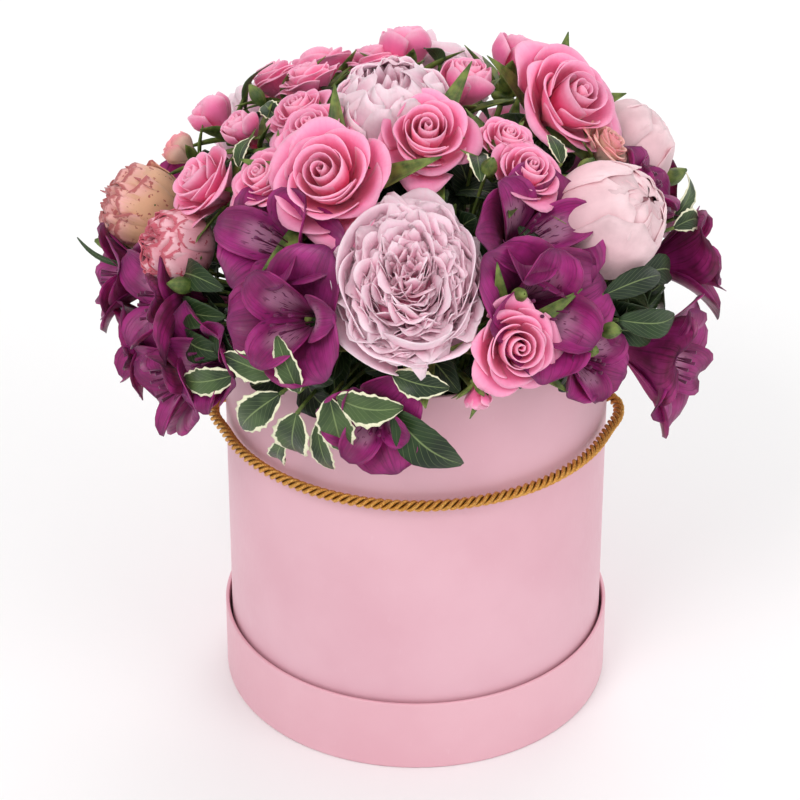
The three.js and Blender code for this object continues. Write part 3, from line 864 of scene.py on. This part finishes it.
def gold_cord_material():
    """Metallic yarns: fine slanted threads, gold on each strand's crown, with painted shade turning
    them brown in the grooves.
    """
    n = Nodes("gold_cord")
    crown = n.tint()[0]
    threads = n.stretched(1.0, 3, (16, 90, 1))
    cloud = n.noise(160, 3)
    tone = n.mix(n.remap(threads, 0.3, 0.7), rgb(184, 108, 26), rgb(255, 204, 108))
    tone = n.mix(n.times(n.remap(cloud, 0.4, 0.7), 0.35), tone, rgb(212, 138, 40))
    # Painted shade: dark brown where a strand lies against the others, away from its crown.
    tone = n.mix(n.remap(crown, 0.62, 0.15, 0.0, 0.9), tone, rgb(84, 38, 6))
    n.bump(threads, 0.7, 0.0006)
    return n.finish(tone, n.remap(threads, 0.3, 0.7, 0.28, 0.42), Metallic=0.55,
                    Specular_IOR_Level=0.6)


def film_material():
    """Dark crinkled film; its near-black tone is partly the film's own and partly painted shade for
    the dark inside of the rim.
    """
    n = Nodes("liner_film")
    crease = n.stretched(90, 5, (1, 1, 0.3), "Object")
    # Partly painted shade: near-black so that the film inside the rim reads as the dark band there.
    tone = n.mix(n.remap(crease, 0.35, 0.7), rgb(22, 14, 18), rgb(62, 48, 52))
    n.bump(crease, 0.8, 0.002)
    return n.finish(tone, n.remap(crease, 0.3, 0.7, 0.18, 0.34), Specular_IOR_Level=0.6)


def foam_material():
    """Damp green floral foam."""
    n = Nodes("foam")
    cells = n.noise(900, 4, 0.7)
    damp = n.noise(40, 3)
    tone = n.mix(n.remap(damp, 0.3, 0.7), rgb(34, 58, 36), rgb(58, 92, 52))
    n.bump(cells, 0.8, 0.0008)
    return n.finish(tone, n.remap(cells, 0.3, 0.7, 0.85, 0.97), Specular_IOR_Level=0.2)


# Each first colour is a heart's: the bloom's own deeper tone, and partly painted shade in its
# recesses.
PEONY = petal_material("peony_petal", rgb(228, 92, 140), rgb(248, 184, 206), rgb(255, 228, 238),
                       rgb(252, 206, 224), glow=0.45)
PEONY_PALE = petal_material("peony_pale", rgb(226, 152, 166), rgb(236, 190, 198),
                            rgb(243, 212, 217), rgb(238, 198, 204), veins=0.15)
PEONY_TEA = petal_material("peony_tea", rgb(196, 104, 92), rgb(226, 172, 136), rgb(244, 178, 184),
                           rgb(216, 170, 122), speckle=rgb(168, 66, 70), veins=0.7)
PEONY_SPECKLED = petal_material("peony_speckled", rgb(196, 50, 86), rgb(240, 160, 176),
                                rgb(250, 206, 214), rgb(238, 150, 170), speckle=rgb(190, 30, 66))
ROSE = petal_material("rose_petal", rgb(246, 40, 100), rgb(255, 114, 168), rgb(255, 192, 216),
                      rgb(255, 146, 190), glow=0.22)
ROSE_PALE = petal_material("rose_pale", rgb(206, 120, 110), rgb(240, 196, 178), rgb(238, 110, 140),
                           rgb(238, 210, 180), veins=0.5)
ALSTROEMERIA = alstroemeria_material()
VARIEGATED = leaf_material("leaf_variegated", rgb(26, 44, 22), rgb(72, 94, 52), rgb(240, 238, 204))
PLAIN_LEAF = leaf_material("leaf_plain", rgb(18, 36, 16), rgb(38, 62, 28))
STEM = stem_material()
BOARD = board_material("box_board", rgb(223, 170, 184), rgb(229, 180, 193))
LID_BOARD = board_material("lid_board", rgb(227, 172, 185), rgb(232, 181, 193))
GOLD = gold_cord_material()
FILM = film_material()
FOAM_STUFF = foam_material()


# ---- camera, light, floor
CAMERA_X = -0.00768
CAMERA_AT = (CAMERA_X, -1.3013, 0.9522)
CAMERA_AIM = (CAMERA_X, 0, 0.1475)
LENS = 145.3
LIGHT_AIM = (0, 0, 0.15)
LIGHTS = {                    # name: place, size, power
    "key": ((-0.7, -1.2, 1.6), 0.8, 11),
    "fill": ((1.2, -1.0, 1.1), 1.2, 6),
    "back": ((0.3, 1.4, 1.4), 1.2, 9),
}
WORLD_STRENGTH = 0.75
FLOOR_REACH = 6
FLOOR_TONE = (0.93, 0.93, 0.93, 1)


def stand(name, data, place_at, target):
    """Puts a camera or light in the scene, looking at the target."""
    obj = bpy.data.objects.new(name, data)
    obj.location = place_at
    obj.rotation_euler = (Vector(target) - obj.location).to_track_quat("-Z", "Y").to_euler()
    return link(obj)


def add_camera():
    data = bpy.data.cameras.new("camera")
    data.lens = LENS
    data.sensor_width = 36
    data.clip_end = 20
    bpy.context.scene.camera = stand("camera", data, CAMERA_AT, CAMERA_AIM)


def add_lights():
    for name, (place_at, size, power) in LIGHTS.items():
        data = bpy.data.lights.new(name, "AREA")
        data.shape = "DISK"
        data.size = size
        data.energy = power
        stand(name, data, place_at, LIGHT_AIM)


def add_floor():
    mesh = bpy.data.meshes.new("floor")
    corners = [(x * FLOOR_REACH, y * FLOOR_REACH, 0) for x, y in ((-1, -1), (1, -1), (1, 1), (-1, 1))]
    mesh.from_pydata(corners, [], [(0, 1, 2, 3)])
    mesh.materials.append(Nodes("floor").finish(FLOOR_TONE, 0.8, Specular_IOR_Level=0.1))
    floor = link(bpy.data.objects.new("floor", mesh))


def add_world():
    world = bpy.data.worlds.new("studio")
    bpy.context.scene.world = world
    world.use_nodes = True
    background = world.node_tree.nodes["Background"]
    background.inputs["Color"].default_value = (1, 1, 1, 1)
    background.inputs["Strength"].default_value = WORLD_STRENGTH


def join(piece, body, node=None):
    """The piece rides its body, in place of the CAD node if it has one."""
    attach(piece, body)
    if node:
        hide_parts(node)


# ---- the rope handle
STRANDS = 3
STRAND_R = ROPE_D * 0.232
STRAND_SIDES = 12
LAY_LENGTH = 11.5             # rope length in which a strand goes once round
THREAD_TURN = 4.5             # rope length in which the threads go once round a strand
THREAD_LENGTH = 60
KNOT_CORD_R = 1.798
KNOT_LOOP_R = 2.05
KNOT_DEPTH = 1.15
KNOT_POINTS = 60


def rope_route():
    """The rope's centre line, hole to hole: a curve with short steps through ROPE_HALF."""
    right = [Vector(p) for p in ROPE_HALF]
    left = [Vector((-p.x, p.y, p.z)) for p in reversed(right[:-1])]
    points = right + left
    ends = [points[0] * 2 - points[1], *points, points[-1] * 2 - points[-2]]

    def between(a, b, low, high, t):
        return a * ((high - t) / (high - low)) + b * ((t - low) / (high - low))

    route = []
    for i in range(1, len(ends) - 2):
        p0, p1, p2, p3 = ends[i - 1:i + 3]
        t1 = (p1 - p0).length ** 0.5
        t2 = t1 + (p2 - p1).length ** 0.5
        t3 = t2 + (p3 - p2).length ** 0.5
        for t in np.linspace(t1, t2, max(2, round((p2 - p1).length)), endpoint=False):
            a1 = between(p0, p1, 0, t1, t)
            a2 = between(p1, p2, t1, t2, t)
            a3 = between(p2, p3, t2, t3, t)
            b1 = between(a1, a2, 0, t2, t)
            b2 = between(a2, a3, t1, t3, t)
            route.append(between(b1, b2, t1, t2, t))
    return [*route, points[-1]]


def add_strand(sheets, route, phase):
    """One strand wound round the route, with its own lengthwise threads."""
    distance = 0.0
    rows, uvs = [], []
    up = Vector((0, 0, 1))
    around = circle(STRAND_SIDES)
    share = np.arange(STRAND_SIDES) / STRAND_SIDES
    for i, point in enumerate(route):
        tangent = tangent_at(route, i)
        side = tangent.cross(up).normalized()
        over = side.cross(tangent)
        if i:
            distance += (point - route[i - 1]).length
        turn = phase + 2 * math.pi * distance / LAY_LENGTH
        outward = side * math.cos(turn) + over * math.sin(turn)
        sideways = over * math.cos(turn) - side * math.sin(turn)
        centre = point + outward * (ROPE_D / 2 - STRAND_R)
        rows.append([list(centre + (outward * math.cos(a) + sideways * math.sin(a)) * STRAND_R)
                     for a in around])
        uvs.append([(s + distance / THREAD_TURN, distance / THREAD_LENGTH) for s in share])
    tints = np.tile(PLAIN_TINT, (len(route) * STRAND_SIDES, 1))
    # The first tint value is 1 on a strand's outside and 0 where it meets the others; the gold cord
    # paints groove shade from it.
    tints[:, 0] = np.tile((1 + np.cos(around)) / 2, len(route))
    sheets.add_turned(np.array(rows), np.array(uvs), tints)


def add_handle():
    """The rope and its two knots, which swing together."""
    route = rope_route()
    sheets = Sheets()
    for k in range(STRANDS):
        add_strand(sheets, route, k * 2 * math.pi / STRANDS)
    rope = sheets.build("rope_handle", [GOLD])
    knots = [add_knot("knot_right", 1), add_knot("knot_left", -1)]
    join(rope, "handle", "handle_rope")


def add_knot(name, side):
    """An overhand knot drawn up tight: a flattened trefoil."""
    low, high = box_mm(f"handle_{name}")
    middle = (Vector(low) + Vector(high)) / 2
    path = []
    for t in circle(KNOT_POINTS):
        r = KNOT_LOOP_R + math.cos(3 * t)
        depth = side * KNOT_DEPTH * math.sin(3 * t)
        path.append(middle + Vector((depth, r * math.cos(2 * t), r * math.sin(2 * t))))
    path.append(path[0])
    sheets = Sheets()
    add_tube(sheets, path, lambda s: KNOT_CORD_R, 10, KNOT_TINT, 0)
    knot = sheets.build(name, [GOLD])
    join(knot, "handle", f"handle_{name}")
    return knot


# ---- the box and its lid
BOARDS = {"box": BOARD, "lid": LID_BOARD}
BOARD_SIDES = 192
HOLE_SIDES = 48
DISC_START_R = 2
SEAM_AT = math.radians(93)    # the paper's overlap is at the back
SEAM_START = 0.996            # the overlap rises from this cosine of the angle to SEAM_AT,
SEAM_RISE = 0.0025            # over this much of the cosine
SEAM_SKIN = 0.6               # and lifts only what lies this near the outside
SHARP_ANGLE = math.radians(32)


def turned_board(name, node, body, inner_r, radii, steps=5, seam=0.0):
    """The node's cross-section, from inner_r to its rim, rounded and turned about Z.

    The radii are those of the section's corners, anticlockwise from the lower inner one.
    The seam lifts a narrow strip of the outside. A disc starts at DISC_START_R and is
    closed there.
    """
    low, high = box_mm(node)
    corners = [(inner_r, low[2]), (high[0], low[2]), (high[0], high[2]), (inner_r, high[2])]
    profile = np.array(rounded(corners, radii, steps))
    turn = circle(BOARD_SIDES)
    lift = seam * smooth((np.cos(turn - SEAM_AT) - SEAM_START) / SEAM_RISE)
    r = profile[:, :1] + lift[None, :] * (profile[:, :1] > high[0] - SEAM_SKIN)
    z = np.repeat(profile[:, 1:], BOARD_SIDES, axis=1)
    u, v = np.meshgrid(turn / (2 * math.pi), np.linspace(0, 1, len(profile) + 1)[:-1])
    sheets = Sheets()
    if inner_r == DISC_START_R:
        sheets.add_turned(place(turn[None, :], r, z), np.stack([u, v], -1), PLAIN_TINT)
    else:
        sheets.add(place(turn[None, :], r, z), np.stack([u, v], -1), PLAIN_TINT)
        first = np.arange(BOARD_SIDES)
        last = first + (len(profile) - 1) * BOARD_SIDES
        sheets.faces.append(np.stack([last, np.roll(last, -1), np.roll(first, -1), first], -1))
        sheets.slots.append(np.zeros(BOARD_SIDES))
    piece = sheets.build(name, [BOARDS[body]])
    join(piece, body, node)
    return piece


def rounded(corners, radii, steps):
    """An outline with each corner rounded by its own radius; with 0 it stays sharp."""
    outline = []
    for i, (corner, radius) in enumerate(zip(corners, radii)):
        corner = Vector(corner)
        if radius == 0:
            outline.append(tuple(corner))
            continue
        before = (Vector(corners[i - 1]) - corner).normalized()
        after = (Vector(corners[(i + 1) % len(corners)]) - corner).normalized()
        for s in np.linspace(0, 1, steps):
            outline.append(tuple(corner + before * radius * (1 - s) ** 2 + after * radius * s ** 2))
    return outline


def punch_holes(piece):
    """Cuts both handle holes with one rod that goes right through the box."""
    mesh = bpy.data.meshes.new("punch")
    points = [(x * MM, (HOLE_Y + HOLE_R * math.cos(a)) * MM, (ROPE_Z + HOLE_R * math.sin(a)) * MM)
              for x in (-2 * BOX_R, 2 * BOX_R) for a in circle(HOLE_SIDES)]
    count = len(points) // 2
    faces = [(i, i + count, (i + 1) % count + count, (i + 1) % count) for i in range(count)]
    faces += [tuple(range(count)), tuple(range(2 * count - 1, count - 1, -1))]
    mesh.from_pydata(points, [], faces)
    punch = link(bpy.data.objects.new("punch", mesh))
    cut = piece.modifiers.new("holes", "BOOLEAN")
    cut.object = punch
    cut.solver = "EXACT"
    bpy.context.view_layer.objects.active = piece
    with bpy.context.temp_override(object=piece, active_object=piece):
        bpy.ops.object.modifier_apply(modifier="holes")
    bpy.data.objects.remove(punch)


def sharpen(piece):
    """Keeps edges that turn by more than SHARP_ANGLE sharp and the rest smooth."""
    with bpy.context.temp_override(object=piece, active_object=piece,
                                   selected_editable_objects=[piece], selected_objects=[piece]):
        bpy.ops.object.shade_smooth_by_angle(angle=SHARP_ANGLE)


def add_box():
    wall = turned_board("box_wall_wrapped", "box_wall", "box", BOX_R - WALL, [0.4, 0.7, 0.95, 0.9],
                        seam=0.28)
    punch_holes(wall)
    sharpen(wall)
    sharpen(turned_board("box_bottom_board", "box_bottom", "box", DISC_START_R, [0, 0.5, 0.5, 0]))


def add_lid():
    sharpen(turned_board("lid_skirt_wrapped", "lid_skirt", "lid", LID_R - LID_WALL,
                         [0.2, 1.6, 0.85, 0.8], steps=7, seam=0.22))
    sharpen(turned_board("lid_disc_board", "lid_disc", "lid", DISC_START_R, [0, 0.3, 0.5, 0]))


# ---- pot and foam
FILM_START_R = 2
FILM_FLOOR_R = 70
FILM_THICKNESS = 0.4
FILM_INNER_SHARE = 0.994      # the film's inside radius as a share of the outside one
FILM_SIDES = 240
COLLAR_Z = 150                # from here up the film spreads and crinkles more,
COLLAR_HEIGHT = 40            # fully so after this height
CRINKLES = (5, 9, 14, 23, 37)    # waves round the pot, added up


def add_pot():
    """The film pot, its collar spread out against the wall and crinkled."""
    rng = np.random.default_rng(SEEDS["pot"])
    turn = circle(FILM_SIDES)
    heights = np.array([0, 0, 0.5, 40, 80, 120, 150, 160, 168, 176, 184, 190, 195])
    wider = np.array([0, 0, 0, 0, 0, 1, 5, 9, 12.2, 13.6, 13.9])
    radii = np.array([FILM_START_R, FILM_FLOOR_R, *(POT_R + wider)])
    crinkle = sum(rng.uniform(0.2, 0.6) * np.sin(k * turn + rng.uniform(0, 6))
                  for k in CRINKLES)
    swell = smooth((heights + POT_FLOOR_Z - COLLAR_Z) / COLLAR_HEIGHT)[:, None]
    uneven = (0.15 + 0.55 * swell) * (radii > FILM_START_R)[:, None]
    r = radii[:, None] - np.abs(crinkle)[None, :] * uneven
    z = (heights + POT_FLOOR_Z)[:, None] + 1.2 * swell * np.roll(crinkle, 30)[None, :]
    outside = place(turn[None, :], r, z)
    inside = outside[::-1] * [FILM_INNER_SHARE, FILM_INNER_SHARE, 1] + [0, 0, FILM_THICKNESS]
    uv = np.stack(np.meshgrid(turn, np.linspace(0, 1, len(heights))), -1)
    sheets = Sheets()
    sheets.add_turned(np.concatenate([outside, inside]), np.concatenate([uv, uv[::-1]]), PLAIN_TINT)
    join(sheets.build("liner_film_pot", [FILM]), "arrangement", "liner_pot")


def dress_foam():
    """The foam keeps its CAD mesh and only takes a material."""
    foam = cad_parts["floral_foam"]
    foam.data.materials.clear()
    foam.data.materials.append(FOAM_STUFF)


# ---- planting
SPROUT_BELOW = 0.36           # a stem ends this share of the head's diameter below its centre
HEAD_APPROACH = 0.6           # and points along the head's axis for this share of it
SPRIG_APPROACH = 36           # the same, in millimetres, for a leaf's stalk
GAP_LEAF_APPROACH = 30
BUD_APPROACH = 14
BUD_SPROUT_BELOW = 0.4        # share of a green bud's length

# Turn about its own axis from one peony, or from one head of a spray, to the next.
PEONY_SPIN = 1.3
ROSE_SPIN = 2.1
ALSTROEMERIA_SPIN = 1.7


def add_stem(sheets, foot, head, radius):
    facing = dome_normal(*head[:2])
    end = dome_point(*head[:3]) - facing * head[3] * SPROUT_BELOW
    path = stem_path(foot, end, facing, HEAD_APPROACH * head[3])
    add_tube(sheets, path, lambda s: radius, 8, STEM_TINT, GREEN)


# How open a rose is, and its petals' spread as a share of the head's diameter.
OPEN_ROSE = (1.0, 1.22)
CLOSED_ROSE = (0.25, 1.42)
ALSTROEMERIA_FULLNESS = 1.1
SPRIG_LEAF = {"variegated": {"jag": 0.09}, "plain": {"jag": 0.02, "taper": 0.82}}


def plant_blooms(name, heads, stem_r, first_spin, spin, make, material, facing=None,
                 stretch=(1, 1, 1)):
    """A stem and a bloom for each head; make is given the head's diameter and its place."""
    sheets = Sheets()
    foot = foot_under([dome_point(*head[:3]) for head in heads])
    for j, head in enumerate(heads):
        add_stem(sheets, foot, head, stem_r)
        normal = dome_normal(*(facing or head[:2]))
        matrix = facing_matrix(dome_point(*head[:3]), normal, first_spin + spin * j, stretch)
        sheets.merge(make(head[3], j), matrix)
    join(sheets.build(f"{name}_bloom", [material, STEM]), "arrangement", name)


def plant_peonies():
    makers = {
        "open": (peony_open, {}, PEONY),
        "half": (peony_bud, {"loose": 0.38}, PEONY),
        "bud": (peony_bud, {}, PEONY_PALE),
        "tea": (peony_bud, {"loose": 0.65}, PEONY_TEA),
        "speckled": (peony_bud, {"loose": 0.55}, PEONY_SPECKLED),
    }
    for i, (name, (kind, head)) in enumerate(PEONIES.items()):
        maker, options, material = makers[kind]
        lean, stretch = PEONY_LEANS.get(name, (0, (1, 1, 1)))
        plant_blooms(name, [head], PEONY_STEM_R, PEONY_SPIN * i, PEONY_SPIN,
                     lambda size, j: maker(size, SEEDS["peony"] + i, **options),
                     material, (head[0], head[1] + lean), stretch)


def plant_roses():
    for i, (name, heads) in enumerate(ROSES.items()):
        openness, fullness = CLOSED_ROSE if name in ROSE_BUDS else OPEN_ROSE
        material = ROSE_PALE if name in PALE_ROSES else ROSE
        seed = SEEDS["rose"] + SPRAY_SEEDS * i
        plant_blooms(name, heads, BLOOM_STEM_R, i, ROSE_SPIN,
                     lambda size, j: rose(size * fullness, seed + j, openness),
                     material, ROSE_FACINGS.get(name))


def plant_alstroemerias():
    for i, (name, heads) in enumerate(ALSTROEMERIAS.items()):
        seed = SEEDS["alstroemeria"] + SPRAY_SEEDS * i
        plant_blooms(name, heads, BLOOM_STEM_R, i, ALSTROEMERIA_SPIN,
                     lambda size, j: alstroemeria(size * ALSTROEMERIA_FULLNESS, seed + j),
                     ALSTROEMERIA)


def plant_sprigs():
    for i, (name, (kind, leaves)) in enumerate(SPRIGS.items()):
        rng = np.random.default_rng(SEEDS["sprig"] + i)
        sheets = Sheets()
        foot = foot_under([dome_point(*leaf[:3]) for leaf in leaves])
        for leaf in leaves:
            add_stalk(sheets, foot, leaf, SPRIG_APPROACH)
            add_leaf(sheets, rng, leaf, **SPRIG_LEAF[kind])
        material = VARIEGATED if kind == "variegated" else PLAIN_LEAF
        join(sheets.build(f"{name}_bloom", [material, STEM]), "arrangement", name)


# Closed green buds beside the heads: (azimuth, latitude, reach, length).
GREEN_BUDS = [
    (-92, 12, 1.14, 17), (-60, 22, 1.03, 15), (23, 33, 1.05, 13), (41, 20, 1.07, 15),
    (36, 17, 1.05, 12), (-118, 51, 1.05, 13), (150, 26, 1.05, 14), (-158, 33, 1.04, 14),
    (108, 22, 1.08, 15), (30, 62, 1.05, 14), (66, 52, 1.05, 12),
]


def plant_green_buds():
    for i, bud in enumerate(GREEN_BUDS):
        sheets = Sheets()
        centre, facing = dome_point(*bud[:3]), dome_normal(*bud[:2])
        end = centre - facing * bud[3] * BUD_SPROUT_BELOW
        path = stem_path(foot_under([centre]), end, facing, BUD_APPROACH)
        add_tube(sheets, path, lambda s: BUD_STALK_R, 6, STEM_TINT, GREEN)
        bloom = green_bud(bud[3], SEEDS["green_bud"] + i)
        sheets.merge(bloom, facing_matrix(centre, facing, i))
        join(sheets.build(f"green_bud_{i + 1}", [PLAIN_LEAF, STEM]), "arrangement")


# Dark leaves that close the gaps between heads; laid out like the sprigs' leaves.
GAP_LEAVES = [
    (-68, 21, 0.97, -50, 26, 1.0, 14), (-63, 15, 0.97, -47, 20, 0.99, 14),
    (-60, 8, 0.96, -45, 11, 0.97, 14), (-78, 17, 0.93, -60, 12, 0.95, 15),
    (-70, 3, 0.9, -55, 8, 0.94, 15), (-52, 15, 0.94, -40, 10, 0.98, 12),
    (48, 16, 0.95, 60, 8, 0.98, 13), (66, 22, 0.93, 80, 14, 0.97, 14),
    (-120, 24, 0.95, -108, 30, 1.0, 13), (-128, 30, 0.94, -140, 38, 0.99, 13),
    (-112, 14, 0.92, -124, 20, 0.97, 14), (-152, 30, 0.93, -164, 36, 0.98, 14),
    (150, 24, 0.93, 140, 30, 0.99, 13), (132, 26, 0.94, 122, 22, 0.99, 13),
    (-104, 44, 0.95, -98, 54, 0.98, 12), (-140, 62, 0.95, -120, 70, 0.97, 13),
]


def add_gap_leaves():
    rng = np.random.default_rng(SEEDS["gap_leaves"])
    sheets = Sheets()
    for leaf in GAP_LEAVES:
        add_stalk(sheets, foot_under([dome_point(*leaf[:3])]), leaf, GAP_LEAF_APPROACH)
        add_leaf(sheets, rng, leaf, **SPRIG_LEAF["plain"])
    join(sheets.build("leaves_between", [PLAIN_LEAF, STEM]), "arrangement")


SECTORS = 6
SECTOR = 360 / SECTORS
DEEP_LEAVES = 46              # in a sector, under the heads
RIM_LEAVES = 9                # in a sector, just above the rim
RIM_LEAF_STEP = 6.7           # azimuth from one of those to the next
BARE_RIM = (4, 40)            # azimuths where the rim and the film inside it stay in view


def add_filler():
    """Foliage deep between the heads, so that no stem or foam shows from outside."""
    rng = np.random.default_rng(SEEDS["inner_foliage"])
    for sector in range(SECTORS):
        sheets = Sheets()
        for _ in range(DEEP_LEAVES):
            azimuth = sector * SECTOR + rng.uniform(0, SECTOR)
            latitude = rng.uniform(2, 80)
            reach = rng.uniform(0.68, 0.89)
            leaf = (azimuth, latitude, reach - 0.1, azimuth + rng.uniform(-16, 16),
                    min(latitude + rng.uniform(-14, 18), 88), reach + 0.06, rng.uniform(12, 20))
            add_leaf(sheets, rng, leaf, jag=0.03)
        for k in range(RIM_LEAVES):
            azimuth = sector * SECTOR + k * RIM_LEAF_STEP + rng.uniform(-3, 3)
            latitude = rng.uniform(2, 15)
            if BARE_RIM[0] < azimuth < BARE_RIM[1]:
                continue
            leaf = (azimuth, latitude, 0.78, azimuth + rng.uniform(-12, 12),
                    latitude + rng.uniform(-6, 4), rng.uniform(0.88, 0.96), rng.uniform(13, 18))
            add_leaf(sheets, rng, leaf, jag=0.03)
        join(sheets.build(f"foliage_inner_{sector + 1}", [PLAIN_LEAF]), "arrangement")


bpy.context.scene.view_settings.view_transform = "Standard"
add_camera()
add_world()
add_floor()
add_lights()
add_handle()
add_box()
add_lid()
add_pot()
dress_foam()
plant_peonies()
plant_roses()
plant_alstroemerias()
plant_sprigs()
plant_green_buds()
add_gap_leaves()
add_filler()
